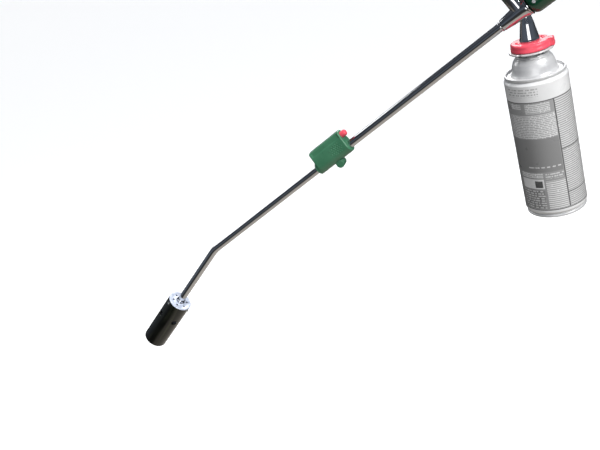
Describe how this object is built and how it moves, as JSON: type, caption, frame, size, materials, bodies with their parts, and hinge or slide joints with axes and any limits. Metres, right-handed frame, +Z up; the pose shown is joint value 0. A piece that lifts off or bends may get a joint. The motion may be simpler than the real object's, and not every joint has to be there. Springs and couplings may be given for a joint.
{
  "type": "propane torch",
  "caption": "Long-lance gas torch with a hand grip, regulator knob, push igniter, cup burner and a screw-free valve-collar gas cartridge hanging below the valve.",
  "frame": {"origin": "middle of the hand grip, on the lance's axis", "axes": "+X forward from the grip to the burner, +Z up along the cartridge's axis, Y across, with the part's plane of symmetry at Y = 0"},
  "size_m": [0.7188, 0.066, 0.4463],
  "materials": {
    "chrome": "bright chrome plating",
    "brass": "machined brass",
    "steel": "plain steel",
    "zinc": "bluish zinc plating",
    "cup_black": "glossy black heat-resistant finish",
    "grip_green": "glossy dark green plastic",
    "box_green": "satin green plastic",
    "red_plastic": "satin red plastic",
    "black_plastic": "matt black plastic",
    "white_plastic": "natural white plastic",
    "rubber": "black rubber",
    "ceramic": "glazed white ceramic",
    "tinplate": "printed light grey tinplate"
  },
  "bodies": {
    "torch": {"lance_tube": "chrome", "lance_nut": "chrome", "gas_pipe": "brass", "ignition_lead": "rubber", "valve_body": "chrome", "inlet_neck": "chrome", "neck_head": "brass", "inlet_gasket": "rubber", "inlet_pin": "brass", "gas_filter": "brass", "gland_nut": "brass", "spindle_seal": "rubber", "grip_collar": "chrome", "hand_grip": "grip_green", "grip_tang": "steel", "grip_screw": "steel", "grip_end_cap": "black_plastic", "igniter_shell_left": "box_green", "igniter_shell_right": "box_green", "igniter_screws": "steel", "button_spring": "steel", "piezo_case": "black_plastic", "piezo_crystal": "ceramic", "piezo_terminal": "brass", "burner_cup": "cup_black", "burner_plate": "zinc", "burner_nut": "chrome", "burner_lock_nut": "steel", "burner_rivets": "steel", "jet_holder": "brass", "gas_jet": "brass", "flame_holder": "steel", "electrode": "steel", "electrode_insulator": "ceramic"},
    "regulator": {"regulator_knob": "red_plastic", "knob_cap": "black_plastic", "knob_screw": "steel", "valve_spindle": "brass"},
    "needle": {"valve_needle": "steel"},
    "ring": {"locking_ring": "red_plastic"},
    "cartridge": {"cartridge_body": "tinplate", "cartridge_top": "tinplate", "cartridge_base": "tinplate", "cartridge_valve_cup": "steel", "cartridge_flange": "steel", "cartridge_stem": "white_plastic", "cartridge_stem_seal": "rubber", "cartridge_stem_spring": "steel", "cartridge_valve_housing": "white_plastic"},
    "button": {"igniter_button": "red_plastic", "piezo_plunger": "white_plastic"}
  },
  "joints": [
    {"name": "regulator_turn", "type": "hinge", "parent": "torch", "child": "regulator", "pos_m": [0.08412, 0, 0.00058], "axis": [0.4695, 0, 0.8829], "range_deg": [0, 540]},
    {"name": "needle_lift", "type": "slide", "parent": "torch", "child": "needle", "axis": [0.4695, 0, 0.8829], "range_m": [0, 0.0012]},
    {"name": "ring_turn", "type": "hinge", "parent": "torch", "child": "ring", "pos_m": [0.06181, 0, -0.06986], "axis": [0, 0, 1], "range_deg": [0, 40]},
    {"name": "cartridge_draw", "type": "slide", "parent": "torch", "child": "cartridge", "axis": [0, 0, -1], "range_m": [0, 0.06]},
    {"name": "button_press", "type": "slide", "parent": "torch", "child": "button", "axis": [0.8829, 0, -0.4695], "range_m": [0, 0.0045], "stiffness_N_per_m": 1500, "springref_m": -0.0015, "deforming": ["button_spring"]}
  ],
  "couplings": [
    {"joint": "needle_lift", "follows": "regulator_turn", "m_per_rad": 0.0001273}
  ]
}
